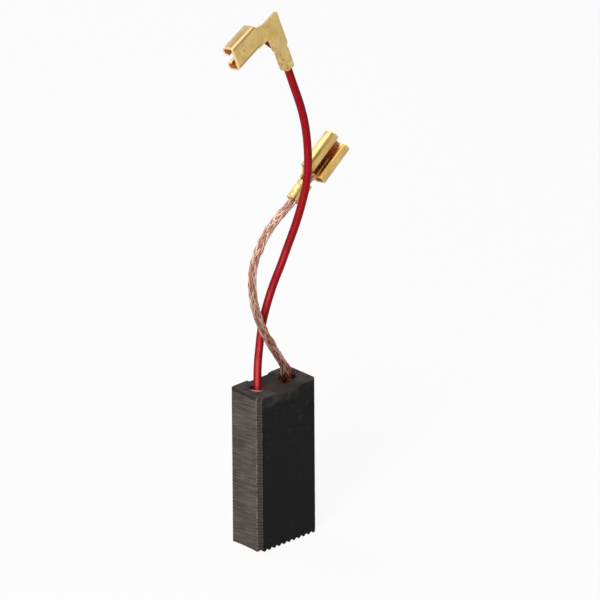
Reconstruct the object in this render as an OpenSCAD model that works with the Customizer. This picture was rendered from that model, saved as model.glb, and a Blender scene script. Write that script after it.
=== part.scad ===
// Carbon brush with a serrated contact face, a copper braid lead and an insulated sense lead.
// Origin at the middle of the contact face. X is the brush's width, Y its thickness, and Z runs
// from the commutator to the leads. Millimetres.

/* [Carbon block] */
// Width of the block
block_w = 12.5; // [10.5:0.5:18]
// Thickness of the block
block_t = 7; // [6:0.5:12]
// Height of the block, from the tooth tips to the lands of the head
block_h = 26.5; // [18:0.5:40]
// Chamfer down the four long edges
edge_chamfer = 0.7; // [0.3:0.1:1.2]
// Broken edge round the head
head_edge = 0.3; // [0.1:0.05:0.6]

/* [Head groove] */
// Width of each land beside the groove
land_w = 3.7; // [2.5:0.1:4]
// Depth of the groove that seats the spring
groove_depth = 0.5; // [0.2:0.1:1.5]

/* [Contact face] */
// Radius of the commutator that the face is ground to
commutator_r = 35; // [15:1:60]
// Distance from one tooth to the next
tooth_pitch = 1.05; // [0.8:0.05:2]
// Depth of the grooves between the teeth
tooth_depth = 0.35; // [0.2:0.05:0.8]
// Width of the flat on each tooth
tooth_flat = 0.25; // [0.1:0.05:0.5]

/* [Lead holes] */
// Distance of the braid's hole from the middle
braid_hole_x = 3; // [2:0.1:4]
// Diameter of the braid's hole
braid_hole_d = 2.8; // [2.3:0.1:3.4]
// Depth of the braid's hole below the lands
braid_hole_depth = 8; // [4:0.5:14]
// Distance of the sense wire's hole from the middle
wire_hole_x = 3.3; // [2:0.1:4]
// Diameter of the sense wire's hole
wire_hole_d = 2.2; // [1.8:0.1:3]
// Depth of the sense wire's hole below the lands
wire_hole_depth = 9; // [5:0.5:14]
// How far the tamped copper stays below the lands
plug_recess = 0.3; // [0:0.05:0.8]
// Depth of the crater round each lead
plug_crater = 0.7; // [0.3:0.1:1.5]
// Width of the rim round each crater
plug_rim = 0.15; // [0.05:0.05:0.3]

/* [Leads] */
// Diameter of the copper braid
braid_d = 1.4; // [1.2:0.1:2]
// Outside diameter of the sense wire
wire_d = 1.3; // [1:0.05:1.5]
// Diameter of the sense wire's stranded core
core_d = 0.75; // [0.4:0.05:0.9]
// How deep the sleeve goes into its hole
sleeve_depth = 2.5; // [1:0.5:4]
// Clearance round a lead in its plug, its sleeve or its crimp
lead_fit = 0.02; // [0.01:0.01:0.06]

/* [Terminals] */
// Thickness of the brass strip
strip_t = 0.3; // [0.2:0.05:0.4]
// Space between the two rolled edges
roll_gap = 1.2; // [0.8:0.1:1.6]
// Thickness of the blade that the receptacle takes
blade_t = 0.8; // [0.5:0.1:0.9]
// Outside radius of the fold beside the floor
fold_r = 0.45; // [0.4:0.05:0.6]
// Outside radius of the rolled edges
roll_r = 0.7; // [0.5:0.05:0.9]
// Bevel at the corners of the mouth
mouth_bevel = 0.4; // [0.1:0.1:0.8]
// Radius of the ball that presses the locating dimple
dimple_r = 0.6; // [0.4:0.05:1]
// Depth of the locating dimple
dimple_depth = 0.05; // [0.05:0.05:0.2]
// Seam between the two wings of a crimp
crimp_seam = 0.1; // [0.05:0.05:0.3]

/* [Straight terminal on the braid] */
// Outside width of the straight receptacle
receptacle_w = 4.6; // [4:0.1:5]
// Outside height of the straight receptacle
receptacle_h = 2.4; // [2:0.05:2.6]
// Length of the braid's crimp
crimp_l = 3.4; // [3:0.1:4]
// Neck between the crimp and the rolls
neck_l = 2; // [1.5:0.1:2.5]
// Length of the rolled edges
roll_l = 6.9; // [5.5:0.1:8]

/* [Flag terminal on the sense wire] */
// Outside width of the flag's receptacle
flag_w = 4.3; // [3.8:0.1:4.8]
// Outside height of the flag's receptacle
flag_h = 2.05; // [1.9:0.05:2.4]
// Length of the sense wire's crimp
flag_crimp_l = 3.4; // [3:0.1:3.6]
// Length of the taper from the crimp to the full width of the leg
leg_taper_l = 1.8; // [1:0.1:2.4]
// Length of the walls that run out from the flag's sides behind its rolls
wall_l = 0.9; // [0.4:0.1:1.2]
// Width of the flag's leg
leg_w = 3.6; // [3:0.1:4.5]
// Distance from the crimp's start to the top of the leg
leg_top = 10.4; // [9.5:0.1:12]
// Radius of the leg's outer corner
leg_corner_r = 0.5; // [0.2:0.1:1]
// Width of the neck between the leg and the receptacle
flag_neck_w = 2.8; // [2.4:0.1:3.4]
// Distance from the leg to the rolls
flag_neck_l = 2.5; // [1.8:0.1:3.5]
// Radius of the inner corner between the leg and the neck
flag_corner_r = 0.9; // [0.4:0.1:1.2]
// Length of the flag's rolled edges
flag_roll_l = 5.8; // [5:0.1:7]

/* [Hidden] */

braid_foot_z = block_h - braid_hole_depth;
wire_foot_z = block_h - wire_hole_depth;
sleeve_foot_z = block_h - sleeve_depth;

// The braid's path above the lands: across in front of the sense wire and up into its crimp.
braid_path = [
    [2.1, -0.6, 1.9],
    [1.2, -0.7, 3.4],
    [0.0, -0.6, 5.4],
    [-1.0, -0.3, 7.3],
    [-1.9, 0.1, 9.4],
    [-2.7, 0.5, 11.9],
    [-3.2, 0.8, 14.5],
    [-3.3, 1.0, 17.1],
    [-3.1, 1.1, 19.5],
    [-2.4, 1.0, 21.9],
    [-1.2, 0.8, 24.2],
    [0.3, 0.4, 26.4],
    [1.9, -0.1, 28.1],
    [4.1, -0.5, 29.9],
    [8.4, -0.35, 33.1],
];

// The sense wire's path above the lands. The crimp holds it between the two points before the
// last two, and its cut end turns towards the receptacle.
wire_path = [
    [-2.7, 0.6, 3.1],
    [-1.4, 1.5, 6.5],
    [-0.6, 1.7, 9.7],
    [0.1, 1.3, 13.0],
    [0.8, 0.6, 16.3],
    [1.5, -0.4, 19.7],
    [2.2, -1.3, 23.1],
    [2.8, -2.3, 26.5],
    [3.2, -3.3, 30.1],
    [3.5, -4.1, 33.7],
    [3.5, -4.6, 37.4],
    [3.3, -4.7, 41.0],
    [2.8, -4.7, 44.5],
    [2.0, -4.5, 48.0],
    [0.9, -4.2, 51.5],
    [-0.2, -4.0, 54.8],
    [-1.5, -3.8, 58.5],
    [-2.9, -3.9, 59.2],
    [-4.3, -3.8, 60.4],
];

// Each lead starts at the foot of its hole and leaves it upright.
function above_lands(path) = [for (p = path) p + [0, 0, block_h]];
braid_route = concat(
    [[braid_hole_x, 0, braid_foot_z], [braid_hole_x, 0, block_h - groove_depth]],
    above_lands(braid_path));
wire_top = [-wire_hole_x, 0, block_h];
sleeve_route = concat([[-wire_hole_x, 0, sleeve_foot_z], wire_top], above_lands(wire_path));
core_route = concat([[-wire_hole_x, 0, wire_foot_z], wire_top], above_lands(wire_path));

// Where each crimp sits on its route, and how far each terminal is turned about its lead.
braid_crimp = [for (i = [2, 1]) braid_route[len(braid_route) - i]];
braid_terminal_turn = -105;
wire_crimp = [for (i = [4, 3]) core_route[len(core_route) - i]];
flag_terminal_turn = 20;

tooth_count = floor(block_w / tooth_pitch);
tube_sides = 8;
curve_fn = 48;
// Least straight flank between the fold and the roll of a bent strip.
flank_min = 0.1;
// Thickness of a joining wall's two ends.
wall_end = 0.05;

function unit(v) = v / norm(v);

// Direction of a route at one of its points.
function heading(route, i) =
    unit(route[min(i + 1, len(route) - 1)] - route[max(i - 1, 0)]);

// One ring of points round a route.
function ring(route, i, r) =
    let (ahead = heading(route, i),
         side = unit(cross(ahead, [0, 1, 0])),
         up = cross(side, ahead))
    [for (k = [0 : tube_sides - 1])
        route[i] + r * cos(360 * k / tube_sides) * side + r * sin(360 * k / tube_sides) * up];

// Two triangles for each side between one ring and the next, both given by their first point.
function band(a, b) =
    [for (k = [0 : tube_sides - 1]) let (n = (k + 1) % tube_sides)
        each [[a + k, b + k, b + n], [a + k, b + n, a + n]]];

// A round lead along a route, with flat ends.
module lead(route, d) {
    last = len(route) - 1;
    polyhedron(
        points = [for (i = [0 : last]) each ring(route, i, d / 2)],
        faces = concat(
            [for (i = [0 : last - 1]) each band(i * tube_sides, (i + 1) * tube_sides)],
            [[for (k = [0 : tube_sides - 1]) k]],
            [[for (k = [tube_sides - 1 : -1 : 0]) last * tube_sides + k]]));
}

// A hollow sleeve along a route.
module sleeve(route, d, bore) {
    last = len(route) - 1;
    inside = (last + 1) * tube_sides;
    polyhedron(
        points = concat([for (i = [0 : last]) each ring(route, i, d / 2)],
                        [for (i = [0 : last]) each ring(route, i, bore / 2)]),
        faces = concat(
            [for (i = [0 : last - 1]) each band(i * tube_sides, (i + 1) * tube_sides)],
            [for (i = [0 : last - 1])
                each band(inside + (i + 1) * tube_sides, inside + i * tube_sides)],
            band(inside, 0),
            band(last * tube_sides, inside + last * tube_sides)));
}

// Block seen from above, with its chamfered long edges.
module block_plan() {
    x = block_w / 2;
    y = block_t / 2;
    c = edge_chamfer;
    polygon([[x, c - y], [x, y - c], [x - c, y], [c - x, y],
             [-x, y - c], [-x, c - y], [c - x, -y], [x - c, -y]]);
}

// Block seen from the front, with the head groove and its sloping walls.
module block_front() {
    x = block_w / 2;
    e = head_edge;
    wall_top = x - land_w;
    wall_foot = wall_top - groove_depth;
    floor_z = block_h - groove_depth;
    polygon([[-x, -1], [x, -1], [x, block_h - e], [x - e, block_h],
             [wall_top, block_h], [wall_foot, floor_z], [-wall_foot, floor_z],
             [-wall_top, block_h], [e - x, block_h], [-x, block_h - e]]);
}

// Block seen from the side, with the broken edges of the head.
module block_side() {
    y = block_t / 2;
    e = head_edge;
    polygon([[-y, -1], [y, -1], [y, block_h - e], [y - e, block_h],
             [e - y, block_h], [-y, block_h - e]]);
}

// Ribbed wheel that leaves the curved, toothed contact face.
module contact_cutter() {
    rise = commutator_r - sqrt(pow(commutator_r, 2) - pow(block_t / 2, 2));
    half_groove = (tooth_pitch - tooth_flat) / 2;
    half_l = block_w / 2 + 1;
    translate([0, 0, rise - commutator_r]) rotate([0, 90, 0])
        rotate_extrude($fn = 120) polygon(concat(
            [[0, half_l], [0, -half_l], [commutator_r, -half_l]],
            [for (i = [0 : tooth_count])
                let (x = (i - tooth_count / 2) * tooth_pitch)
                each [[commutator_r, x - half_groove],
                      [commutator_r + tooth_depth, x],
                      [commutator_r, x + half_groove]]],
            [[commutator_r, half_l]]));
}

module carbon_block() {
    color("#3b3835") difference() {
        intersection() {
            translate([0, 0, -1]) linear_extrude(block_h + 1) block_plan();
            rotate([90, 0, 0]) linear_extrude(block_t, center = true) block_front();
            rotate([90, 0, 90]) linear_extrude(block_w, center = true) block_side();
        }
        contact_cutter();
        translate([braid_hole_x, 0, braid_foot_z])
            cylinder(d = braid_hole_d, h = braid_hole_depth + 1, $fn = curve_fn);
        translate([-wire_hole_x, 0, wire_foot_z])
            cylinder(d = wire_hole_d, h = wire_hole_depth + 1, $fn = curve_fn);
    }
}

// Copper powder tamped round the braid, with a crater where the tamping tube stood.
module braid_plug() {
    bore_r = braid_d / 2 + lead_fit;
    hole_r = braid_hole_d / 2;
    top = braid_hole_depth - plug_recess - groove_depth;
    color("#8f4a35") translate([braid_hole_x, 0, braid_foot_z])
        rotate_extrude($fn = curve_fn)
            polygon([[bore_r, 0], [hole_r, 0], [hole_r, top], [hole_r - plug_rim, top],
                     [bore_r, top - plug_crater]]);
}

// Copper powder tamped round the stripped core and the end of the sleeve.
module wire_plug() {
    core_r = core_d / 2 + lead_fit;
    sleeve_r = wire_d / 2 + lead_fit;
    hole_r = wire_hole_d / 2;
    step = wire_hole_depth - sleeve_depth;
    top = wire_hole_depth - plug_recess;
    color("#8f4a35") translate([-wire_hole_x, 0, wire_foot_z])
        rotate_extrude($fn = curve_fn)
            polygon([[core_r, 0], [hole_r, 0], [hole_r, top], [hole_r - plug_rim, top],
                     [sleeve_r, top - plug_crater], [sleeve_r, step], [core_r, step]]);
}

module copper_braid() {
    color("#c98a6e") lead(braid_route, braid_d);
}

module wire_sleeve() {
    color("#ad1f2a") sleeve(sleeve_route, wire_d, core_d + 2 * lead_fit);
}

module wire_core() {
    color("#c98a6e") lead(core_route, core_d);
}

// Quarter of a bend in the strip, from the first direction round to the second.
module bend(r, start) {
    intersection() {
        difference() {
            circle(r, $fn = curve_fn);
            circle(r - strip_t, $fn = curve_fn);
        }
        rotate(start) square(r + 1);
    }
}

// Strip folded up at both sides and rolled inwards. The floor's outside is on the X axis.
// gap is the space between the rolled edges, and lip_z the height that they come down to.
module folded_strip(w, h, gap, lip_z) {
    flank = w / 2 - strip_t;
    roll = min(roll_r, (w - gap) / 4, h - fold_r - flank_min);
    has_lip = lip_z < h - roll;
    for (side = [0, 1]) mirror([side, 0]) {
        square([w / 2 - fold_r, strip_t]);
        translate([w / 2 - fold_r, fold_r]) bend(fold_r, -90);
        translate([flank, fold_r]) square([strip_t, h - roll - fold_r]);
        translate([w / 2 - roll, h - roll]) bend(roll, 0);
        top_start = has_lip ? gap / 2 + roll : gap / 2;
        translate([top_start, h - strip_t]) square([w / 2 - roll - top_start, strip_t]);
        if (has_lip) {
            translate([top_start, h - roll]) bend(roll, 90);
            translate([gap / 2, lip_z]) square([strip_t, h - roll - lip_z]);
        }
    }
}

module receptacle_section(w, h) {
    folded_strip(w, h, roll_gap, strip_t + blade_t);
}

// Wall along the edge of a strip that joins a folded side to the flat strip. Each end gives the
// wall's place across the strip, its place along the strip and its height.
module edge_wall(a, b) {
    hull() for (p = [a, b]) translate([p[0], 0, p[1]]) cube([strip_t, p[2], wall_end]);
}

// Crimp round a lead of diameter d: two wings whose edges meet over it.
module crimp_section(d) {
    folded_strip(crimp_width(d), crimp_width(d), crimp_seam, crimp_width(d));
}

function crimp_width(d) = d + 2 * (lead_fit + strip_t);

// Carries a terminal to its crimp, with local Z along the lead.
module on_lead(crimp, turn) {
    along = unit(crimp[1] - crimp[0]);
    translate(crimp[0])
        rotate([0, acos(along[2]), atan2(along[1], along[0])])
            rotate([0, 0, turn]) children();
}

// Points of a quarter circle from angle a to angle b.
function arc(centre, r, a, b) =
    [for (k = [0 : 6]) centre + r * [cos(a + (b - a) * k / 6), sin(a + (b - a) * k / 6)]];

// Straight receptacle. Local X points to its open side, and Z to its mouth.
module braid_terminal() {
    crimp_half = crimp_width(braid_d) / 2;
    rolls_z = crimp_l + neck_l;
    mouth_z = rolls_z + roll_l;
    half = receptacle_w / 2;
    shoulder = half - crimp_half;
    side = concat(
        [[crimp_half - fold_r, 0], [crimp_half - fold_r, crimp_l]],
        arc([crimp_half + shoulder, rolls_z - shoulder], shoulder, 180, 90),
        [[half, rolls_z], [half - fold_r, rolls_z],
         [half - fold_r, mouth_z - mouth_bevel], [half - fold_r - mouth_bevel, mouth_z]]);
    other_side = [for (i = [len(side) - 1 : -1 : 0]) [-side[i][0], side[i][1]]];
    color("#c9a550") on_lead(braid_crimp, braid_terminal_turn) translate([-crimp_half, 0, 0])
        difference() {
            union() {
                rotate([90, 0, 90]) linear_extrude(strip_t) polygon(concat(side, other_side));
                rotate(-90) linear_extrude(crimp_l) crimp_section(braid_d);
                translate([0, 0, rolls_z]) rotate(-90) linear_extrude(roll_l)
                    receptacle_section(receptacle_w, receptacle_h);
                translate([strip_t + dimple_depth - dimple_r, 0, rolls_z + roll_l / 2])
                    dimple_ball();
            }
            translate([dimple_depth - dimple_r, 0, rolls_z + roll_l / 2]) dimple_ball();
        }
}

// Ball cut flat behind, so that only the side that presses the dimple is left.
module dimple_ball() {
    intersection() {
        sphere(dimple_r, $fn = curve_fn);
        translate([0, -dimple_r, -dimple_r]) cube(2 * dimple_r);
    }
}

// Flag receptacle. Local Z runs along the wire, X points to the mouth and the flat back is +Y.
module flag_terminal() {
    crimp_half = crimp_width(wire_d) / 2;
    leg_in = leg_w - crimp_half;
    rolls_x = leg_in + flag_neck_l;
    mouth_x = rolls_x + flag_roll_l;
    neck_low = leg_top - flag_neck_w;
    middle = neck_low + flag_w / 2;
    taper_top = flag_crimp_l + leg_taper_l;
    flat_low = neck_low + fold_r;
    flat_top = neck_low + flag_w - fold_r;
    outline = concat(
        [[-crimp_half + fold_r, 0], [crimp_half - fold_r, 0], [crimp_half - fold_r, flag_crimp_l],
         [crimp_half, flag_crimp_l], [leg_in, taper_top]],
        arc([leg_in + flag_corner_r, neck_low - flag_corner_r], flag_corner_r, 180, 90),
        [[rolls_x, neck_low], [rolls_x, flat_low], [mouth_x - mouth_bevel, flat_low],
         [mouth_x, flat_low + mouth_bevel], [mouth_x, flat_top - mouth_bevel],
         [mouth_x - mouth_bevel, flat_top], [rolls_x, flat_top],
         [rolls_x - wall_l, leg_top + fold_r], [leg_in, leg_top]],
        arc([leg_corner_r - crimp_half, leg_top - leg_corner_r], leg_corner_r, 90, 180),
        [[-crimp_half, flag_crimp_l + 2 * fold_r], [-crimp_half + fold_r, flag_crimp_l + fold_r]]);
    color("#c9a550") on_lead(wire_crimp, flag_terminal_turn) translate([0, crimp_half, 0])
        difference() {
            union() {
                rotate([90, 0, 0]) linear_extrude(strip_t) polygon(outline);
                rotate(180) {
                    linear_extrude(flag_crimp_l) crimp_section(wire_d);
                    edge_wall([-crimp_half, flag_crimp_l - wall_end, crimp_width(wire_d) - fold_r],
                              [-leg_in, taper_top, strip_t]);
                }
                translate([rolls_x, 0, middle]) rotate([180, -90, 0]) {
                    linear_extrude(flag_roll_l) receptacle_section(flag_w, flag_h);
                    edge_wall([-flag_w / 2, -wall_l, strip_t], [-flag_w / 2, 0, flag_h - roll_r]);
                    edge_wall([leg_top + fold_r - strip_t - middle, -wall_l, strip_t],
                              [flag_w / 2 - strip_t, 0, flag_h - roll_r]);
                }
                translate([rolls_x + flag_roll_l / 2, dimple_r - strip_t - dimple_depth, middle])
                    rotate([0, 0, -90]) dimple_ball();
            }
            translate([rolls_x + flag_roll_l / 2, dimple_r - dimple_depth, middle])
                rotate([0, 0, -90]) dimple_ball();
        }
}

carbon_block();
braid_plug();
copper_braid();
braid_terminal();
wire_plug();
wire_sleeve();
wire_core();
flag_terminal();
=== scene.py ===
from math import ceil, cos, hypot, pi, radians, sin

import bmesh
import bpy
from mathutils import Matrix, Vector
from mathutils.bvhtree import BVHTree


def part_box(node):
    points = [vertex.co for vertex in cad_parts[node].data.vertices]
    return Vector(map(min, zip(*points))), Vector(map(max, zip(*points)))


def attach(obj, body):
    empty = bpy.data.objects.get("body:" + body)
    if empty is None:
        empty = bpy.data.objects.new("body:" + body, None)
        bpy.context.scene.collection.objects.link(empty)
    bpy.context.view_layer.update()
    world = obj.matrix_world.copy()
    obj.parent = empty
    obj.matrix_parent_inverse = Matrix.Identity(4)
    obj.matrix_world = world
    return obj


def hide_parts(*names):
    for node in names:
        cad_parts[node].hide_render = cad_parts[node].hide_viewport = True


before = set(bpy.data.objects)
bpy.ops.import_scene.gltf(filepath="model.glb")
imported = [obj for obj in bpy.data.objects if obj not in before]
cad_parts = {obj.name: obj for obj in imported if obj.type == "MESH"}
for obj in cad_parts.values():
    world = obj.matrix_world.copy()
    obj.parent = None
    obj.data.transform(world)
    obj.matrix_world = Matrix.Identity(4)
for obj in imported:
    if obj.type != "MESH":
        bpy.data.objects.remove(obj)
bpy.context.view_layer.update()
MM = 0.001

# --- Camera ------------------------------------------------------------------------------
# A long lens two metres off, a little above the head and looking across the brush's front
# left corner, so that upright edges stay upright and parallel ones parallel.
CAMERA_AIM = Vector((3.295, -2.792, 40.406)) * MM
CAMERA_PLACE = Vector((-1271.6, -1380.0, 871.0)) * MM
CAMERA_UPRIGHT = Vector((0.2799, 0.2927, 0.9143))
CAMERA_LENS = 787.94  # on a 36 mm sensor

camera = bpy.data.objects.new("camera", bpy.data.cameras.new("camera"))
bpy.context.scene.collection.objects.link(camera)
camera.data.lens = CAMERA_LENS
camera.data.clip_start, camera.data.clip_end = 0.05, 60
look = (CAMERA_AIM - CAMERA_PLACE).normalized()
right = look.cross(CAMERA_UPRIGHT).normalized()
camera.matrix_world = Matrix.Translation(CAMERA_PLACE) @ Matrix(
    (right, right.cross(look), -look)).transposed().to_4x4()
bpy.context.scene.camera = camera


# --- Floor, daylight and lamps -----------------------------------------------------------
# A plain white sweep under the brush. A soft box stands to the front left, two weaker and
# larger ones hang overhead and behind, and the white room around them fills in the rest.
class Out:
    """An output of a node. Sums written with it add the nodes that work them out."""

    def __init__(self, graph, socket):
        self.graph, self.socket = graph, socket

    def sum(self, operation, *values):
        vector = [isinstance(v, (tuple, Vector)) or isinstance(v, Out) and v.socket.type == "VECTOR"
                  for v in values]
        if not any(vector):
            return self.graph.put("ShaderNodeMath", {"operation": operation}, dict(enumerate(values)))
        if operation == "MULTIPLY" and not all(vector):
            line, factor = values if vector[0] else values[::-1]
            return self.graph.put("ShaderNodeVectorMath", {"operation": "SCALE"},
                                  {0: line, "Scale": factor})
        return self.graph.put("ShaderNodeVectorMath", {"operation": operation},
                              dict(enumerate(values)))

    def __add__(self, other): return self.sum("ADD", self, other)
    def __radd__(self, other): return self.sum("ADD", other, self)
    def __sub__(self, other): return self.sum("SUBTRACT", self, other)
    def __rsub__(self, other): return self.sum("SUBTRACT", other, self)
    def __mul__(self, other): return self.sum("MULTIPLY", self, other)
    def __rmul__(self, other): return self.sum("MULTIPLY", other, self)
    def __truediv__(self, other): return self.sum("DIVIDE", self, other)
    def __rtruediv__(self, other): return self.sum("DIVIDE", other, self)
    def __mod__(self, other): return self.sum("FLOORED_MODULO", self, other)
    def __pow__(self, other): return self.sum("POWER", self, other)
    def __abs__(self): return self.sum("ABSOLUTE", self)
    def above(self, other): return self.sum("GREATER_THAN", self, other)
    def least(self, other): return self.sum("MINIMUM", self, other)
    def most(self, other): return self.sum("MAXIMUM", self, other)
    def floor(self): return self.sum("FLOOR", self)
    def sin(self): return self.sum("SINE", self)
    def cos(self): return self.sum("COSINE", self)

    def rise(self, low, high, bottom=0.0, top=1.0):
        """A smooth step from bottom at low to top at high."""
        return self.graph.put("ShaderNodeMapRange", {"interpolation_type": "SMOOTHSTEP"}, {
            "Value": self, "From Min": low, "From Max": high, "To Min": bottom, "To Max": top})

    def split(self):
        return self.graph.put("ShaderNodeSeparateXYZ", {}, {0: self}, "XYZ")


class Graph:
    """A node tree, filled by one call for any kind of node."""

    def __init__(self, tree):
        self.tree = tree
        tree.nodes.clear()

    def put(self, kind, settings=None, links=None, outs=None):
        """Adds a node, gives it its settings, then its sockets' values or links."""
        node = self.tree.nodes.new(kind)
        for name, value in (settings or {}).items():
            setattr(node, name, value)
        for name, value in (links or {}).items():
            socket = (node.inputs[name] if isinstance(name, int) else
                      next(s for s in node.inputs if s.name == name and s.enabled))
            if isinstance(value, Out):
                self.tree.links.new(value.socket, socket)
            elif socket.type == "RGBA" and len(value) == 3:
                socket.default_value = (*value, 1.0)
            else:
                socket.default_value = value
        shown = [s for s in node.outputs if s.enabled]
        if outs:
            return [Out(self, next(s for s in shown if s.name == name)) for name in outs]
        return Out(self, shown[0]) if shown else node

    def mix(self, share, first, second):
        """A colour between two."""
        return self.put("ShaderNodeMix", {"data_type": "RGBA"},
                        {"Factor": share, "A": first, "B": second})

    def noise(self, where, scale, detail=2.0, roughness=0.5, outs=None):
        return self.put("ShaderNodeTexNoise", {}, {
            "Vector": where, "Scale": scale, "Detail": detail, "Roughness": roughness}, outs)

    def point(self, x, y, z):
        return self.put("ShaderNodeCombineXYZ", {}, {0: x, 1: y, 2: z})

    def distance(self, first, second):
        return self.put("ShaderNodeVectorMath", {"operation": "DISTANCE"}, {0: first, 1: second},
                        outs=("Value",))[0]

    def seen(self):
        """1 for rays from the camera, off metal or through glass, 0 for the light on things."""
        camera_ray, glossy_ray, clear_ray = self.put(
            "ShaderNodeLightPath", outs=("Is Camera Ray", "Is Glossy Ray", "Is Transmission Ray"))
        return camera_ray.most(glossy_ray).most(clear_ray)


def hue(red, green, blue):
    """A colour written as it looks, from 0 to 255, turned into the linear one of a socket."""
    return tuple((c / 255 / 12.92) if c < 10.3 else ((c / 255 + 0.055) / 1.055) ** 2.4
                 for c in (red, green, blue))


ROOM_LIGHT = 0.14  # what the room sheds on the brush, against 1 for white
FLOOR_WHITE = hue(246, 246, 245)
FLOOR_RADIUS = 12.0
FLOOR_GLOW = 0.90  # share of the floor that stays white where a shadow falls
KEY_POWER, KEY_SIZE, KEY_PLACE = 13.5, 0.45, Vector((-0.98, -0.52, 0.62))
TOP_POWER, TOP_SIZE, TOP_PLACE = 2.4, 0.9, Vector((0.10, -0.25, 1.15))
REAR_POWER, REAR_SIZE, REAR_PLACE = 4.0, 0.9, Vector((-0.12, 0.97, 0.80))

world = bpy.data.worlds.new("room")
world.use_nodes = True
bpy.context.scene.world = world
room = Graph(world.node_tree)
room.put("ShaderNodeOutputWorld", {}, {"Surface": room.put("ShaderNodeBackground", {}, {
    "Color": (1.0, 1.0, 1.0), "Strength": ROOM_LIGHT + room.seen() * (1.0 - ROOM_LIGHT)})})

floor = bpy.data.objects.new("floor", bpy.data.meshes.new("floor"))
bpy.context.scene.collection.objects.link(floor)
disc = bmesh.new()
bmesh.ops.create_circle(disc, cap_ends=True, segments=64, radius=FLOOR_RADIUS)
disc.to_mesh(floor.data)
disc.free()
paper = bpy.data.materials.new("paper")
paper.use_nodes = True
sweep = Graph(paper.node_tree)
sweep.put("ShaderNodeOutputMaterial", {}, {"Surface": sweep.put("ShaderNodeMixShader", {}, {
    0: sweep.seen() * FLOOR_GLOW,
    1: sweep.put("ShaderNodeBsdfDiffuse", {}, {"Color": FLOOR_WHITE}),
    2: sweep.put("ShaderNodeEmission", {}, {"Color": (1.0, 1.0, 1.0), "Strength": 1.0})})})
floor.data.materials.append(paper)

for name, power, size, place in (("key", KEY_POWER, KEY_SIZE, KEY_PLACE),
                                 ("overhead", TOP_POWER, TOP_SIZE, TOP_PLACE),
                                 ("rear", REAR_POWER, REAR_SIZE, REAR_PLACE)):
    lamp = bpy.data.objects.new(name, bpy.data.lights.new(name, "AREA"))
    bpy.context.scene.collection.objects.link(lamp)
    lamp.data.energy, lamp.data.size = power, size
    lamp.location = place
    lamp.rotation_euler = (place - CAMERA_AIM).to_track_quat("Z", "Y").to_euler()
bpy.context.scene.view_settings.view_transform = "Standard"


# --- Copper braid ------------------------------------------------------------------------
# The main lead: sixteen carriers of fine bare copper wires plaited round each other, two
# over and two under. Its foot fans out where it is tamped into the block, and its top is
# crimped in the straight terminal, where the cut wires stand out a little.
BRAID_DIAMETER = 1.4
BRAID_ROUTE = (
    (3, 0, 24.9), (3, 0, 26.0), (2.1, -0.6, 28.4), (1.2, -0.7, 29.9), (0.0, -0.6, 31.9),
    (-1.0, -0.3, 33.8), (-1.9, 0.1, 35.9), (-2.7, 0.5, 38.4), (-3.2, 0.8, 41.0), (-3.3, 1.0, 43.6),
    (-3.1, 1.1, 46.0), (-2.4, 1.0, 48.4), (-1.2, 0.8, 50.7), (0.3, 0.4, 52.9), (1.9, -0.1, 54.6),
    (4.1, -0.5, 56.4), (6.25, -0.42, 58.0), (8.4, -0.35, 59.6))
CARRIERS = 8            # each way round
CARRIER_WIRES = 2
BRAID_WIRE = 0.088      # a wire's radius
BRAID_LAY = 14.5        # length of one turn round the braid
BRAID_CROSSING = 0.075  # rise and fall where carriers cross
BRAID_STRAY = 0.10      # how far a wire strays from its place
BRAID_FOOT = 4.9        # length of the fanned foot
FOOT_FLARE = 0.95       # growth of the ring of wires there
FOOT_STRAY = 0.7
BRAID_STEPS = 200
BRAID_SEED = 11.0
WIRE_SIDES = 6
COPPER_ROUGHNESS = 0.48
LINE_PARTS = 6          # straight parts between two points of a route


def smooth_line(points):
    """A smooth line in metres through points in millimetres."""
    p = [Vector(q) * MM for q in points]
    p = [2 * p[0] - p[1], *p, 2 * p[-1] - p[-2]]
    line = []
    for a, b, c, d in zip(p, p[1:], p[2:], p[3:]):
        for k in range(LINE_PARTS):
            t = k / LINE_PARTS
            line.append(0.5 * (2 * b + (c - a) * t + (2 * a - 5 * b + 4 * c - d) * t * t
                               + (3 * b - a - 3 * c + d) * t ** 3))
    return [*line, p[-2]]


def length_of(line):
    return sum((b - a).length for a, b in zip(line, line[1:]))


def line_curve(name, line):
    """A curve of one straight-segment spline along a line."""
    curve = bpy.data.curves.new(name, "CURVE")
    curve.dimensions = "3D"
    spline = curve.splines.new("POLY")
    spline.points.add(len(line) - 1)
    for point, place in zip(spline.points, line):
        point.co = (*place, 1.0)
    return curve


def new_tree(name, **inputs):
    """A Geometry Nodes tree with named inputs, as its graph and their outputs."""
    group = bpy.data.node_groups.new(name, "GeometryNodeTree")
    graph = Graph(group)
    group.interface.new_socket("Geometry", in_out="OUTPUT", socket_type="NodeSocketGeometry")
    group.interface.new_socket("Geometry", in_out="INPUT", socket_type="NodeSocketGeometry")
    for label, kind in (*inputs.items(), ("Material", "Material")):
        group.interface.new_socket(label.replace("_", " "), in_out="INPUT",
                                   socket_type="NodeSocket" + kind)
    node = group.nodes.new("NodeGroupInput")
    return graph, {s.name.replace(" ", "_"): Out(graph, s) for s in node.outputs if s.name}


def end_tree(graph, geometry, material):
    """Ends a tree in real geometry with its material."""
    geometry = graph.put("GeometryNodeRealizeInstances", {}, {0: geometry})
    geometry = graph.put("GeometryNodeSetMaterial", {}, {"Geometry": geometry, "Material": material})
    graph.put("NodeGroupOutput", {}, {0: geometry})


def stored(graph, geometry, label, value):
    """Geometry that carries a number under a name, for its material to read."""
    return graph.put("GeometryNodeStoreNamedAttribute", {"data_type": "FLOAT"}, {
        "Geometry": geometry, "Name": label, "Value": value})


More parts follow.
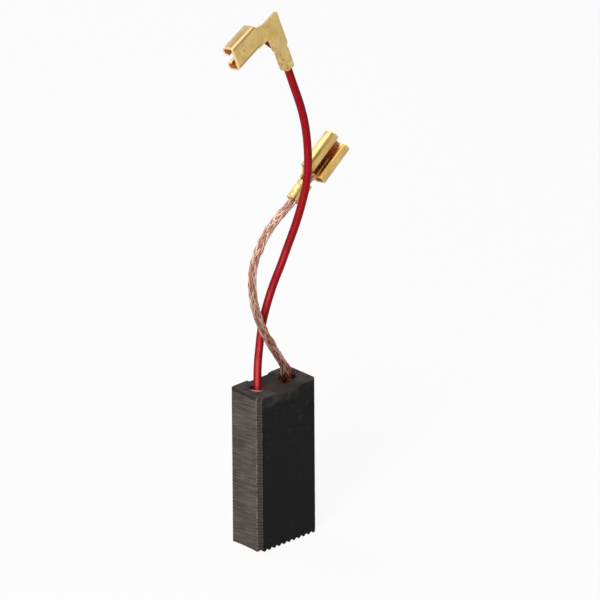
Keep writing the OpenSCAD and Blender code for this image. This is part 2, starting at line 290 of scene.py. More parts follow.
def made_real(host):
    """A plain mesh of what an object's modifiers make of it."""
    depsgraph = bpy.context.evaluated_depsgraph_get()
    return bpy.data.meshes.new_from_object(host.evaluated_get(depsgraph), depsgraph=depsgraph)


def grown(name, data, graph, material, **values):
    """Runs a tree on a curve or a mesh, and gives the result as a plain mesh object."""
    host = bpy.data.objects.new(name + "_host", data)
    bpy.context.scene.collection.objects.link(host)
    modifier = host.modifiers.new(name, "NODES")
    modifier.node_group = graph.tree
    values["Material"] = material
    for item in graph.tree.interface.items_tree:
        if item.in_out == "INPUT" and item.name.replace(" ", "_") in values:
            modifier[item.identifier] = values[item.name.replace(" ", "_")]
    mesh = made_real(host)
    host.modifiers.remove(modifier)
    bpy.data.objects.remove(host)
    mesh.name = name
    piece = bpy.data.objects.new(name, mesh)
    bpy.context.scene.collection.objects.link(piece)
    return piece


class Finish(Graph):
    """A material, as a graph with one Principled shader."""

    def __init__(self, name):
        self.material = bpy.data.materials.new(name)
        self.material.use_nodes = True
        super().__init__(self.material.node_tree)
        self.at = self.put("ShaderNodeTexCoord", outs=("Object",))[0]

    def read(self, label, out="Fac"):
        """What the mesh carries under a name."""
        return self.put("ShaderNodeAttribute", {"attribute_name": label}, outs=(out,))[0]

    def bump(self, height, distance, strength):
        return self.put("ShaderNodeBump", {}, {
            "Height": height, "Distance": distance, "Strength": strength})

    def lay(self, **sockets):
        shader = self.put("ShaderNodeBsdfPrincipled", {}, {
            name.replace("_", " "): value for name, value in sockets.items()})
        self.put("ShaderNodeOutputMaterial", {}, {"Surface": shader})
        return self.material


def drawn_copper(name, bright, dull, shade):
    """Bare copper wire: bright outside, duller on some wires and low down, with painted shade where it
    dips.
    """
    copper = Finish(name)
    tone, depth = copper.read("wire_tone"), copper.read("wire_depth")
    patches = copper.noise(copper.at, 900.0, 3.0)
    # Duller towards the bottom, fading out between 26 and 50 mm up.
    duller_low_down = copper.at.split()[2].rise(0.026, 0.050, 0.45, 0.0)
    colour = copper.mix((tone.rise(0.25, 0.75) * 0.75 + duller_low_down).least(1.0), bright, dull)
    colour = copper.mix((depth + patches.rise(0.56, 0.74) * 0.35).least(1.0), colour, shade)
    return copper.lay(
        Base_Color=colour, Metallic=1.0, Roughness=COPPER_ROUGHNESS + patches * 0.18,
        Normal=copper.bump(copper.noise(copper.at, 9000.0, 1.0), 0.000008, 0.35))


braid_copper = drawn_copper("braid_copper", hue(226, 194, 176), hue(170, 120, 102), hue(92, 38, 26))


def strand_tree(name):
    """Wires laid along a line, their carriers running round it both ways, two over and two under where
    they rise to cross.
    """
    graph, i = new_tree(name, Carriers="Int", Carrier_wires="Int", Ring_radius="Float",
                        Wire_radius="Float", Lay="Float", Crossing="Float", Foot_flare="Float",
                        Foot_length="Float", Foot_stray="Float", Stray="Float", Steps="Int",
                        Sides="Int", Seed="Float")
    length = graph.put("GeometryNodeCurveLength", {}, {"Curve": i["Geometry"]})
    bar = graph.put("GeometryNodeCurvePrimitiveLine", {}, {"End": (0.0, 0.0, 1.0)})
    bar = graph.put("GeometryNodeResampleCurve", {}, {"Curve": bar, "Count": i["Steps"]})
    bars, index = graph.put("GeometryNodeDuplicateElements", {"domain": "SPLINE"}, {
        "Geometry": bar, "Amount": i["Carriers"] * 2.0 * i["Carrier_wires"]},
        outs=("Geometry", "Duplicate Index"))
    carrier = (index / i["Carrier_wires"] + 0.001).floor()
    member = index - carrier * i["Carrier_wires"]
    way = 1.0 - (carrier % 2.0) * 2.0
    place = (carrier / 2.0).floor()
    share = graph.put("GeometryNodeSplineParameter", outs=("Factor",))[0]
    along = share * length
    centre = member - (i["Carrier_wires"] - 1.0) / 2.0
    waver = graph.point(along * 420.0, index * 3.7 + i["Seed"], i["Seed"])
    shake = graph.noise(waver, 1.0, 1.0, outs=("Color",))[0]
    sideways, outward, patch = shake.split()
    turn = 2 * pi * place / i["Carriers"] + way * along * (2 * pi) / i["Lay"]
    turn = turn + centre * i["Wire_radius"] * 2.02 / i["Ring_radius"]
    turn = turn + (sideways - 0.5) * i["Stray"] / i["Ring_radius"]
    weave = 2.0 * place + way * 2.0 * i["Carriers"] * along / i["Lay"] - 0.5
    over = way * (weave * (pi / 2)).cos()
    ring = i["Ring_radius"] + over * i["Crossing"]
    ring = ring - abs(centre) * i["Wire_radius"] * 0.22 + (outward - 0.5) * i["Stray"] * 0.8
    loose = patch.rise(0.60, 0.78) * i["Stray"] * 1.2
    foot = along.rise(i["Foot_length"] * 0.45, i["Foot_length"], 1.0, 0.0)
    sway = graph.point(along * 260.0, carrier * 5.3 + i["Seed"], centre * 0.35)
    swing, spread, _ = graph.noise(sway, 1.0, 1.0, outs=("Color",))[0].split()
    turn = turn + (swing - 0.5) * foot * i["Foot_stray"] / i["Ring_radius"]
    ring = (ring + loose) * (1.0 + foot * i["Foot_flare"])
    ring = ring + (spread - 0.6) * foot * i["Foot_stray"]
    spot, along_line, across = graph.put("GeometryNodeSampleCurve", {"mode": "FACTOR"}, {
        "Curves": i["Geometry"], "Factor": share}, outs=("Position", "Tangent", "Normal"))
    beside = along_line.sum("CROSS_PRODUCT", along_line, across)
    laid = graph.put("GeometryNodeSetPosition", {}, {
        "Geometry": bars,
        "Position": spot + across * (turn.cos() * ring) + beside * (turn.sin() * ring)})
    own = graph.put("FunctionNodeRandomValue", {"data_type": "FLOAT"}, {
        "ID": index, "Seed": 3}, outs=("Value",))[0]
    shared = graph.put("FunctionNodeRandomValue", {"data_type": "FLOAT"}, {
        "ID": carrier, "Seed": 8}, outs=("Value",))[0]
    # Painted shade: darker where a wire dips under the crossing carriers, a little towards a carrier's
    # edges, and on three of four carriers in the fanned foot.
    painted_dip_shade = over.rise(-1.0, 0.3, 1.0, 0.0) * 0.75 + abs(centre) * 0.2
    painted_dip_shade = painted_dip_shade.most(foot * (place % 4.0).above(0.5)) * i["Crossing"].above(0.0)
    for label, value in (("wire_tone", own * 0.4 + shared * 0.6), ("wire_depth", painted_dip_shade)):
        laid = stored(graph, laid, label, value)
    section = graph.put("GeometryNodeCurvePrimitiveCircle", {}, {
        "Resolution": i["Sides"], "Radius": i["Wire_radius"]})
    wires = graph.put("GeometryNodeCurveToMesh", {}, {
        "Curve": laid, "Profile Curve": section, "Fill Caps": True})
    wires = graph.put("GeometryNodeSetShadeSmooth", {}, {"Geometry": wires})
    end_tree(graph, wires, i["Material"])
    return graph


strands = strand_tree("wires_along_a_line")
braid_line = smooth_line(BRAID_ROUTE)
copper_braid = grown(
    "copper_braid_wires", line_curve("braid_line", braid_line), strands, braid_copper,
    Carriers=CARRIERS, Carrier_wires=CARRIER_WIRES,
    Ring_radius=(BRAID_DIAMETER / 2 - BRAID_WIRE - BRAID_CROSSING) * MM,
    Wire_radius=BRAID_WIRE * MM, Lay=BRAID_LAY * MM, Crossing=BRAID_CROSSING * MM,
    Foot_flare=FOOT_FLARE, Foot_length=BRAID_FOOT * MM, Foot_stray=FOOT_STRAY * MM,
    Stray=BRAID_STRAY * MM, Steps=BRAID_STEPS, Sides=WIRE_SIDES, Seed=BRAID_SEED)
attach(copper_braid, "root")
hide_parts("copper_braid")
round(length_of(braid_line), 4)


# --- Red wire ----------------------------------------------------------------------------
# The thin second lead: a twisted copper core in a red plastic sleeve, cut off square just
# past the flag terminal's crimp. Its dark flanks are painted shade and its pale streak a
# painted highlight, set by how far the surface faces WIRE_FRONT, so they stay put when the
# view changes.
SLEEVE_DIAMETER = 1.3
SLEEVE_INSET = 0.01     # keeps the sleeve inside its solid where it wavers
SLEEVE_WAVER = 0.03
SLEEVE_STEP = 0.5
WIRE_FRONT = (-0.72, -0.58, 0.38)
CORE_CARRIERS = 3
CORE_RING = 0.22        # radius of the ring that the core's wires lie on
CORE_WIRE = 0.1
CORE_LAY = 8
CORE_STEPS = 110
CORE_SEED = 5.0
WIRE_FOOT = (-3.3, 0, 24.0)     # where the route starts, down in the hole
CORE_TIP = (-4.55, -3.79, 87.1)
WIRE_ROUTE = (
    (-3.3, 0, 26.5), (-2.7, 0.6, 29.6), (-1.4, 1.5, 33.0), (-0.6, 1.7, 36.2), (0.1, 1.3, 39.5),
    (0.8, 0.6, 42.8), (1.5, -0.4, 46.2), (2.2, -1.3, 49.6), (2.8, -2.3, 53.0), (3.2, -3.3, 56.6),
    (3.5, -4.1, 60.2), (3.5, -4.6, 63.9), (3.3, -4.7, 67.5), (2.8, -4.7, 71.0), (2.0, -4.5, 74.5),
    (0.9, -4.2, 78.0), (-0.2, -4.0, 81.3), (-0.63, -3.93, 82.53), (-1.07, -3.87, 83.77),
    (-1.5, -3.8, 85.0), (-2.9, -3.9, 85.7), (-4.3, -3.8, 86.9))
SLEEVE_SIDES = 24

vinyl = Finish("red_vinyl")
clouds = vinyl.noise(vinyl.at, 260.0, 3.0)
scuffs = vinyl.noise(vinyl.at, 1700.0, 3.0, 0.65)
side = vinyl.read("outer_side")
red = vinyl.mix(clouds, hue(136, 9, 22), hue(156, 15, 28))
# Painted shade: the sleeve darkens where it turns side-on to WIRE_FRONT, less so straight behind.
painted_flank_shade = side.rise(0.15, 0.85, 0.62, 0.0) * side.rise(-0.75, -0.1, 0.12, 1.0)
red = vinyl.mix(painted_flank_shade, red, hue(70, 6, 14))
# Painted highlight: a pale streak where the sleeve faces WIRE_FRONT.
red = vinyl.mix(side.rise(0.86, 0.97) * (0.35 + clouds.rise(0.4, 0.6) * 0.3), red, hue(206, 84, 84))
red_vinyl = vinyl.lay(
    Base_Color=vinyl.mix(scuffs.rise(0.62, 0.82) * 0.35, red, hue(186, 66, 70)),
    Roughness=0.36 + scuffs * 0.2, Specular_IOR_Level=0.06,
    Normal=vinyl.bump(scuffs * 0.6 + clouds, 0.00003, 0.4))

tube, i = new_tree("sleeve_along_a_line", Radius="Float", Sides="Int", Step="Float", Waver="Float",
                   Outer_side="Vector")
line = tube.put("GeometryNodeResampleCurve", {"mode": "LENGTH"}, {
    "Curve": i["Geometry"], "Length": i["Step"]})
place = tube.put("GeometryNodeInputPosition")
section = tube.put("GeometryNodeCurvePrimitiveCircle", {}, {
    "Resolution": i["Sides"], "Radius": i["Radius"]})
skin = tube.put("GeometryNodeCurveToMesh", {}, {
    "Curve": line, "Profile Curve": section, "Fill Caps": True})
normal = tube.put("GeometryNodeInputNormal")
skin = tube.put("GeometryNodeSetPosition", {}, {
    "Geometry": skin, "Offset": normal * ((tube.noise(place, 330.0, 1.0) - 0.5) * i["Waver"])})
outer = normal.sum("DOT_PRODUCT", normal, i["Outer_side"])
skin = stored(tube, skin, "outer_side", outer)
skin = tube.put("GeometryNodeSetShadeSmooth", {}, {"Geometry": skin})
end_tree(tube, skin, i["Material"])

wire_line = smooth_line((WIRE_FOOT, *WIRE_ROUTE))
wire_sleeve = grown(
    "wire_sleeve_vinyl", line_curve("wire_line", wire_line), tube, red_vinyl,
    Radius=(SLEEVE_DIAMETER / 2 - SLEEVE_INSET) * MM, Sides=SLEEVE_SIDES, Step=SLEEVE_STEP * MM,
    Waver=SLEEVE_WAVER * MM, Outer_side=WIRE_FRONT)
wire_sleeve.data.set_sharp_from_angle(angle=radians(50))
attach(wire_sleeve, "root")
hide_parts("wire_sleeve")

core_copper = drawn_copper("core_copper", hue(246, 190, 160), hue(220, 146, 116), hue(140, 74, 52))
core_line = smooth_line((WIRE_FOOT, *WIRE_ROUTE, CORE_TIP))
wire_core = grown(
    "wire_core_strands", line_curve("core_line", core_line), strands, core_copper,
    Carriers=CORE_CARRIERS, Carrier_wires=CARRIER_WIRES, Ring_radius=CORE_RING * MM,
    Wire_radius=CORE_WIRE * MM, Lay=CORE_LAY * MM, Crossing=0.0, Foot_flare=0.0,
    Foot_length=1 * MM, Foot_stray=0.0, Stray=0.0, Steps=CORE_STEPS, Sides=WIRE_SIDES,
    Seed=CORE_SEED)
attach(wire_core, "root")
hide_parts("wire_core")
round(length_of(wire_line), 4)


# --- Carbon block ------------------------------------------------------------------------
# The brush itself, pressed from carbon and graphite powder and fired. Its narrow faces are
# ground across in fine ridges that run out over the corner chamfers, its wide faces are
# smooth and nearly black, and its foot has tooth grooves that bed in on the commutator.
BLOCK_W, BLOCK_T, BLOCK_H = 12.5 * MM, 7.0 * MM, 26.5 * MM
EDGE_CHAMFER = 0.7 * MM
NOTCH_PITCH = 0.52
NOTCH_DEPTH = 0.09
LINE_PITCH = 0.27       # of the fine grinding lines on the narrow faces
LINE_TILT = 0.14        # their rise towards the front
CHIPPED_CORNER = Vector((-6.1, -2.75, 26.3)) * MM
WIRE_HOLE = Vector((-3.3, 0.0, 0.0)) * MM
CUTS = (0.34, 0.3, 0.11)    # spacing in x, y and z of the cuts that the relief needs
CARBON_GRAIN = 0.006
CHIP_DEPTH = 0.1
CARBON_SHARP = radians(32)


def joined_copy(node):
    """A CAD node's mesh with its loose triangles joined and its flat faces whole."""
    work = bmesh.new()
    work.from_mesh(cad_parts[node].data)
    bmesh.ops.remove_doubles(work, verts=work.verts, dist=0.002 * MM)
    bmesh.ops.dissolve_limit(work, angle_limit=radians(0.4), verts=work.verts, edges=work.edges)
    return work


def fresh_mesh(name, work):
    """A mesh with the same faces and nothing else of what the copy carried."""
    work.verts.ensure_lookup_table()
    work.verts.index_update()
    mesh = bpy.data.meshes.new(name)
    mesh.from_pydata([v.co[:] for v in work.verts], [], [[v.index for v in f.verts] for f in work.faces])
    work.free()
    return mesh


def cut_across(work, axis, place):
    """Adds the edges where a plane across an axis meets a mesh."""
    normal = Vector([float(axis == k) for k in range(3)])
    bmesh.ops.bisect_plane(work, geom=work.verts[:] + work.edges[:] + work.faces[:], dist=1e-7,
                           plane_co=normal * place, plane_no=normal)


block = joined_copy("carbon_block")
for axis, (low, high) in enumerate(((-BLOCK_W / 2, BLOCK_W / 2), (-BLOCK_T / 2, BLOCK_T / 2),
                                    (0.0, BLOCK_H))):
    step = CUTS[axis] * MM
    for k in range(1, ceil((high - low) / step)):
        cut_across(block, axis, low + k * step)
block_mesh = fresh_mesh("carbon_block_ground", block)

relief, i = new_tree("ground_relief", Pitch="Float", Notch="Float", Grain="Float",
                     Chip="Float", Half_width="Float", Half_thickness="Float", Chamfer="Float",
                     Height="Float")
place = relief.put("GeometryNodeInputPosition")
x, y, z = place.split()
outer = abs(x) + abs(y) - (i["Half_width"] + i["Half_thickness"] - i["Chamfer"])
corner = outer.rise(-0.00022, -0.00005)
notch_wave = (z / i["Pitch"] + relief.noise(place, 300.0, 1.0) * 0.9) * (2 * pi)
notches = notch_wave.sin().rise(-0.2, 0.8) * relief.noise(place, 700.0, 1.0).rise(0.28, 0.5)
grain = relief.noise(place, 2600.0, 2.0) - 0.5
edge = outer.rise(-0.0005, 0.0)
top_edge = z.rise(i["Height"] - 0.0006, i["Height"] - 0.0001)
chips = relief.noise(place, 1150.0, 3.0, 0.6).rise(0.62, 0.76) * edge.most(top_edge * 0.6)
depth = notches * corner * i["Notch"] + chips * i["Chip"] - grain * i["Grain"]
normal = relief.put("GeometryNodeInputNormal")
cut = relief.put("GeometryNodeSetPosition", {}, {
    "Geometry": i["Geometry"], "Offset": normal * (-1.0 * depth.most(0.0))})
cut = stored(relief, cut, "notch", notches * corner)
end_tree(relief, cut, i["Material"])

carbon = Finish("carbon_graphite")
x, y, z = carbon.at.split()
out_x, out_y = abs(x), abs(y)
notch = carbon.read("notch")
wide_edge, narrow_edge = BLOCK_W / 2 - EDGE_CHAMFER, BLOCK_T / 2 - EDGE_CHAMFER
narrow = out_x.rise(BLOCK_W / 2 - 0.25 * MM, BLOCK_W / 2 - 0.06 * MM)
chamfer = (out_x - wide_edge).rise(0.0, 0.04 * MM) * (out_y - narrow_edge).rise(0.0, 0.04 * MM)
arris = abs(out_y - narrow_edge).rise(0.03 * MM, 0.16 * MM, 1.0, 0.0) * narrow
far_arris = abs(out_x - wide_edge).rise(0.02 * MM, 0.12 * MM, 1.0, 0.0) * chamfer
flank = (out_x - BLOCK_W / 2).rise(-0.12 * MM, -0.04 * MM).most(
    (out_y - BLOCK_T / 2).rise(-0.12 * MM, -0.04 * MM))
head = z.rise(BLOCK_H - 0.9 * MM, BLOCK_H - 0.45 * MM) * (1.0 - flank.most(chamfer * 0.8))
painted_groove_shade = out_x.rise(2.3 * MM, 2.6 * MM, 1.0, 0.0) * head
along_cut = z + y * LINE_TILT
streaked = carbon.point(x, y * 0.06, along_cut)
scratches = carbon.noise(streaked, 4600.0, 2.0, 0.6)
mottle = carbon.noise(carbon.at, 520.0, 4.0, 0.6)
worn = carbon.noise(carbon.at, 300.0, 2.0).rise(0.32, 0.66)
specks = carbon.noise(carbon.at, 6500.0, 2.0)
level = along_cut / (LINE_PITCH * MM) + carbon.noise(streaked, 240.0, 2.0) * 0.7
lines = (level * (2 * pi)).sin() * 0.5 + 0.5
lines = lines * (0.35 + worn * 0.65)
ground = carbon.mix(lines * 0.62 + scratches.rise(0.40, 0.66) * 0.38, hue(52, 47, 45),
                    hue(112, 104, 100))
ground = carbon.mix(mottle.rise(0.35, 0.7) * 0.3, ground, hue(80, 66, 62))
smooth = carbon.mix(mottle, hue(19, 19, 19), hue(26, 27, 25))
smears = carbon.noise(carbon.at, 900.0, 3.0)
# The wide faces turn lighter near the head, most towards -x, with lighter smears more often higher up.
lighter_near_head = z.rise(BLOCK_H - 2.6 * MM, BLOCK_H - 0.5 * MM) * x.rise(-1.0 * MM, 3.0 * MM, 1.0, 0.3)
smeared = smears.rise(0.54, 0.74) * z.rise(11 * MM, 24 * MM, 0.12, 0.5)
smooth = carbon.mix(smeared, smooth, hue(52, 56, 55))
smooth = carbon.mix(lighter_near_head * (0.35 + smears.rise(0.42, 0.58) * 0.65), smooth, hue(58, 59, 57))
top = carbon.mix(mottle.rise(0.3, 0.7), hue(52, 47, 46), hue(80, 73, 70))
# Painted shade: darker in the groove across the middle of the head.
top = carbon.mix(painted_groove_shade * 0.7, top, hue(52, 42, 40))
colour = carbon.mix(narrow, smooth, ground)
colour = carbon.mix(chamfer * 0.8, colour, carbon.mix(mottle, hue(64, 57, 54), hue(82, 74, 70)))
# Painted shade: the tooth grooves are darkened.
colour = carbon.mix(notch * 0.8, colour, hue(32, 28, 27))
flecks = carbon.noise(carbon.at, 1300.0, 3.0).rise(0.42, 0.62)
# The arrises between the narrow faces and the chamfers are lighter in flecks.
lighter_arris_flecks = arris.most(far_arris * 0.5) * (0.25 + flecks * 0.45) * scratches.rise(0.3, 0.5)
colour = carbon.mix(lighter_arris_flecks, colour, hue(132, 122, 115))
chip = carbon.distance(carbon.at, CHIPPED_CORNER)
colour = carbon.mix(head, colour, top)
broken = z.rise(BLOCK_H - 0.5 * MM, BLOCK_H - 0.38 * MM)
broken = broken * z.rise(BLOCK_H - 0.08 * MM, BLOCK_H, 1.0, 0.0)
broken = broken * out_x.rise(BLOCK_W / 2 - 0.55 * MM, BLOCK_W / 2 - 0.4 * MM)
colour = carbon.mix(broken * mottle.rise(0.25, 0.5) * 0.8, colour, hue(36, 32, 31))
chipped = chip.rise(0.1 * MM, 0.42 * MM, 1.0, 0.0) * scratches.rise(0.34, 0.56) * 0.8
colour = carbon.mix(chipped, colour, hue(150, 138, 128))
# Painted light and shade on the rim of the wire's hole: a pale crescent at its front left and a dark one
# at its back left.
from_hole = carbon.distance(carbon.point(x, y, 0.0), WIRE_HOLE)
painted_hole_rim_light_and_shade = from_hole.rise(1.0 * MM, 1.1 * MM) * from_hole.rise(1.22 * MM, 1.5 * MM, 1.0, 0.0)
painted_hole_rim_light_and_shade = painted_hole_rim_light_and_shade * z.rise(BLOCK_H - 0.8 * MM, BLOCK_H - 0.5 * MM)
front_left = (x - WIRE_HOLE[0]) * -0.9 + y * -0.44
colour = carbon.mix(painted_hole_rim_light_and_shade * front_left.rise(0.6 * MM, 1.05 * MM), colour, hue(206, 176, 166))
back_left = (x - WIRE_HOLE[0]) * -0.75 + y * 0.66
colour = carbon.mix(painted_hole_rim_light_and_shade * back_left.rise(0.8 * MM, 1.05 * MM), colour, hue(14, 11, 11))
colour = carbon.mix(specks.rise(0.66, 0.74) * 0.2 * (narrow + head).least(1.0), colour,
                    hue(124, 116, 110))
carbon_graphite = carbon.lay(
    Base_Color=colour, Roughness=0.62 + mottle * 0.22, Specular_IOR_Level=0.08,
    Normal=carbon.bump((lines + scratches * 0.7) * narrow + specks * 0.3, 0.00003, 0.6))

carbon_block = grown(
    "carbon_block_ground", block_mesh, relief, carbon_graphite,
    Pitch=NOTCH_PITCH * MM, Notch=NOTCH_DEPTH * MM, Grain=CARBON_GRAIN * MM,
    Chip=CHIP_DEPTH * MM, Half_width=BLOCK_W / 2, Half_thickness=BLOCK_T / 2, Chamfer=EDGE_CHAMFER,
    Height=BLOCK_H)
carbon_block.data.shade_smooth()
carbon_block.data.set_sharp_from_angle(angle=CARBON_SHARP)
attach(carbon_block, "root")
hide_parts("carbon_block")


# --- Tamped plugs ------------------------------------------------------------------------
# Copper powder rammed round the foot of each lead in its hole. Its crumbled top sinks in a
# shallow crater round the lead.
GRAIN_SIZE = 0.16
GRAIN_DEPTH = 0.09
PLUG_CUT = 0.12
PLUG_TOP = 1.3 * MM     # how far down the plug is cut finely

tamped = Finish("tamped_copper")
grit = tamped.noise(tamped.at, 5200.0, 3.0, 0.6)
stain = tamped.noise(tamped.at, 1300.0, 2.0)
tamped_copper = tamped.lay(
    Base_Color=tamped.mix(stain.rise(0.38, 0.60), hue(200, 120, 92), hue(100, 32, 20)),
    Metallic=1.0, Roughness=0.42 + grit * 0.25, Normal=tamped.bump(grit, 0.00003, 0.6))

crumbs, i = new_tree("crumbled_surface", Grain="Float", Depth="Float")
place = crumbs.put("GeometryNodeInputPosition")
cells = crumbs.put("ShaderNodeTexVoronoi", {"feature": "F1"}, {
    "Vector": place, "Scale": 1.0 / i["Grain"]}, outs=("Distance",))[0]
normal = crumbs.put("GeometryNodeInputNormal")
crumbled = crumbs.put("GeometryNodeSetPosition", {}, {
    "Geometry": i["Geometry"], "Offset": normal * ((0.35 - cells) * i["Depth"]).least(0.0)})
crumbled = crumbs.put("GeometryNodeSetShadeSmooth", {}, {"Geometry": crumbled})
end_tree(crumbs, crumbled, i["Material"])

for node, name in (("braid_plug", "braid_plug_tamped"), ("wire_plug", "wire_plug_tamped")):
    low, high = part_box(node)
    work = joined_copy(node)
    for axis in range(3):
        start = high[2] - PLUG_TOP if axis == 2 else low[axis]
        for k in range(ceil((high[axis] - start) / (PLUG_CUT * MM))):
            cut_across(work, axis, start + k * PLUG_CUT * MM)
    plug = grown(name, fresh_mesh(name, work), crumbs, tamped_copper,
                 Grain=GRAIN_SIZE * MM, Depth=GRAIN_DEPTH * MM)
    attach(plug, "root")
    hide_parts(node)


# --- Brass terminals ---------------------------------------------------------------------
# Two push-on receptacles, each folded from one strip of brass: a flat back with both sides
# rolled over to grip a flat blade, a neck, and a crimp whose two wings close on the lead.
# One runs straight on from the braid, the other turns off sideways as a flag.
# The solids' locating dimple stands out of the back too far, so these copies level it,
# and a faint ring of painted shade marks its place.
DIMPLE = 0.73               # place of the dimple on the strip's back, as a share of its length
DIMPLE_REACH, DIMPLE_DEPTH = 0.65, 0.1
EDGE_ROUNDING = 0.045 * MM
FOLD_SHARP = radians(38)
SHELTER_REACH = 2.6 * MM    # how far off a facing wall still shades a place inside a fold
SHELTER_RAYS = 28
SHELTER_LIFT = 0.01 * MM    # start of a ray above its face
SHELTER_PULL = 0.15         # and from the corner towards the face's middle
RAY_TURN = 2.4              # from each ray to the next, near the golden angle

brass = Finish("terminal_brass_satin")
across, depth, along = brass.read("strip", "Vector").split()
shelter, crimped = brass.read("shelter"), brass.read("crimped")
cloud = brass.noise(brass.at, 520.0, 3.0, 0.55)
pits = brass.noise(brass.at, 2300.0, 3.0, 0.6)
lustre = brass.noise(brass.at, 160.0, 1.0)
drawn = brass.noise(brass.point(across * 9.0, depth * 9.0, along), 2.2, 2.0)
# Painted shade and warm reflected glow inside the folds, where shelter is high: darker orange brass,
# less metallic, rougher and without coat.
painted_fold_shade = shelter.rise(0.45, 0.85)
rolls = along.rise(0.41, 0.46)
side = abs(across)
# Painted highlight: a cream line on the fold at each edge of the back.
painted_bend_highlight = side.rise(0.84, 0.90) * side.rise(0.94, 1.0, 1.0, 0.0)
painted_bend_highlight = painted_bend_highlight * depth.rise(0.02, 0.12, 1.0, 0.0) * rolls
# Painted shade: a dark brown line on the back just inside that fold.
painted_crease_shade = side.rise(0.68, 0.74) * side.rise(0.78, 0.84, 1.0, 0.0)
painted_crease_shade = painted_crease_shade * depth.rise(0.02, 0.06, 1.0, 0.0) * rolls
# Painted reflection: a dark line along the rolls' top corners.
painted_corner_reflection = depth.rise(0.80, 0.90) * side.rise(0.78, 0.88) * rolls
lip = depth.rise(0.86, 0.94) * side.rise(0.36, 0.54, 1.0, 0.0) * rolls
# Painted highlight on the rim of the mouth.
painted_mouth_highlight = along.rise(0.975, 0.99)
# Painted shade: a faint brown ring where the levelled dimple's rim was.
dent_x, dent_y = across * 2.2, (along - DIMPLE) * 11.4
painted_dimple_shade = abs((dent_x * dent_x + dent_y * dent_y) ** 0.5 - 0.28).rise(0.04, 0.14, 1.0, 0.0)
painted_dimple_shade = painted_dimple_shade * depth.rise(0.02, 0.06, 1.0, 0.0)
metal = brass.mix(cloud.rise(0.35, 0.68) * 0.6 + drawn.rise(0.40, 0.62) * 0.4,
                  hue(216, 186, 112), hue(190, 152, 80))
metal = brass.mix(pits.rise(0.58, 0.72) * 0.5, metal, hue(132, 92, 42))
metal = brass.mix(lustre.rise(0.55, 0.75) * 0.35, metal, hue(190, 172, 104))
dents = crimped.rise(-0.3, 0.2) * brass.noise(brass.at, 1150.0, 2.5).rise(0.46, 0.68)
metal = brass.mix(dents * 0.75, metal, hue(132, 92, 40))
# Painted shade: a brown band on the rolls' side walls, a little off the back.
flank = depth.rise(0.14, 0.22) * depth.rise(0.34, 0.5, 1.0, 0.0) * side.rise(0.92, 0.98)
metal = brass.mix(flank * rolls * 0.6, metal, hue(164, 116, 56))
metal = brass.mix(lip * 0.55, metal, hue(196, 122, 52))
metal = brass.mix((painted_corner_reflection * 0.8).most(painted_crease_shade * 0.75).most(painted_dimple_shade * 0.3), metal, hue(120, 84, 36))
metal = brass.mix(painted_bend_highlight.most(painted_mouth_highlight) * 0.8, metal, hue(246, 222, 172))
# Painted shade inside the folds.
metal = brass.mix(painted_fold_shade, metal, brass.mix(cloud, hue(214, 124, 48), hue(176, 90, 28)))
terminal_brass = brass.lay(
    Base_Color=metal, Metallic=1.0 - painted_fold_shade * 0.75, Coat_Weight=0.6 - painted_fold_shade * 0.6,
    Coat_Roughness=0.16, Roughness=0.18 + cloud * 0.10 + pits * 0.08 + painted_fold_shade * 0.3,
    Normal=brass.bump(pits * (1.0 - painted_fold_shade), 0.00002, 0.35))


def add_shelter(mesh):
    """Stores how far each corner of a face lies inside a fold, from open to closed in."""
    tree = BVHTree.FromPolygons([v.co for v in mesh.vertices], [p.vertices[:] for p in mesh.polygons])
    turns = [(RAY_TURN * k, (k + 0.5) / SHELTER_RAYS) for k in range(SHELTER_RAYS)]
    rays = [Vector((cos(a) * (1 - u) ** 0.5, sin(a) * (1 - u) ** 0.5, u ** 0.5)) for a, u in turns]
    shelter = mesh.attributes.new("shelter", "FLOAT", "CORNER")
    for face in mesh.polygons:
        aim = face.normal.to_track_quat("Z", "Y")
        for corner in face.loop_indices:
            place = mesh.vertices[mesh.loops[corner].vertex_index].co
            place = place.lerp(face.center, SHELTER_PULL)
            place = place + face.normal * SHELTER_LIFT
            hits = sum(tree.ray_cast(place, aim @ ray, SHELTER_REACH)[0] is not None for ray in rays)
            shelter.data[corner].value = hits / SHELTER_RAYS


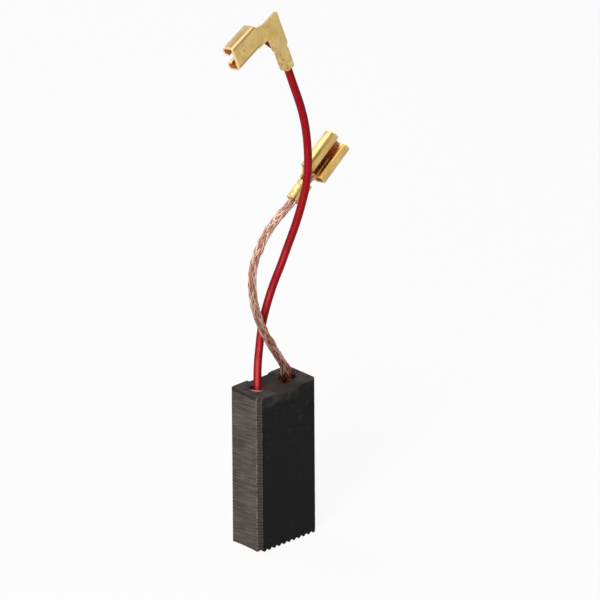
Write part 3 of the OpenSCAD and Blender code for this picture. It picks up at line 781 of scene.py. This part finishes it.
# For each terminal: the middle of its strip's back level with the crimp's end, the ways
# across the strip, off its back and along to the mouth, then half its width, its height, the
# mouth's place, and the way and reach that mark the crimp.
TERMINALS = (
    ("braid_terminal", "straight_receptacle", (4.223, 0.49, 56.188),
     ((0.5851, -0.2386, -0.7751), (-0.1207, -0.9707, 0.2077), (0.8019, 0.028, 0.5968)),
     (2.3, 2.4, 12.3), 2, 3.4),
    ("flag_terminal", "flag_receptacle", (-3.257, -4.452, 90.598),
     ((-0.3311, 0.0509, 0.9422), (-0.1756, 0.9778, -0.1146), (-0.9271, -0.2034, -0.3148)),
     (2.15, 2.05, 10.93), 0, -6.35))

for node, name, start, ways, reach, crimp_way, crimp_end in TERMINALS:
    start, ways = Vector(start) * MM, [Vector(way) for way in ways]
    work = joined_copy(node)
    dimple = []
    for face in work.faces:
        places = [[(v.co - start).dot(way) / MM for way in ways] for v in face.verts]
        if all(hypot(a, c - DIMPLE * reach[2]) < DIMPLE_REACH and b < DIMPLE_DEPTH
               for a, b, c in places):
            dimple.append(face)
    bmesh.ops.dissolve_faces(work, faces=dimple, use_verts=True)
    terminal = bpy.data.objects.new(name, fresh_mesh(name, work))
    bpy.context.scene.collection.objects.link(terminal)
    rounding = terminal.modifiers.new("stamped_edges", "BEVEL")
    rounding.width, rounding.segments = EDGE_ROUNDING, 2
    rounding.limit_method, rounding.angle_limit = "ANGLE", FOLD_SHARP
    rounded = made_real(terminal)
    terminal.modifiers.clear()
    terminal.data = rounded
    rounded.shade_smooth()
    rounded.set_sharp_from_angle(angle=FOLD_SHARP)
    add_shelter(rounded)
    places = [[(v.co - start).dot(way) / MM for way in ways] for v in rounded.vertices]
    strip = rounded.attributes.new("strip", "FLOAT_VECTOR", "POINT")
    strip.data.foreach_set("vector", [p / r for place in places for p, r in zip(place, reach)])
    crimped = rounded.attributes.new("crimped", "FLOAT", "POINT")
    crimped.data.foreach_set("value", [crimp_end - place[crimp_way] for place in places])
    rounded.materials.append(terminal_brass)
    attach(terminal, "root")
    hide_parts(node)
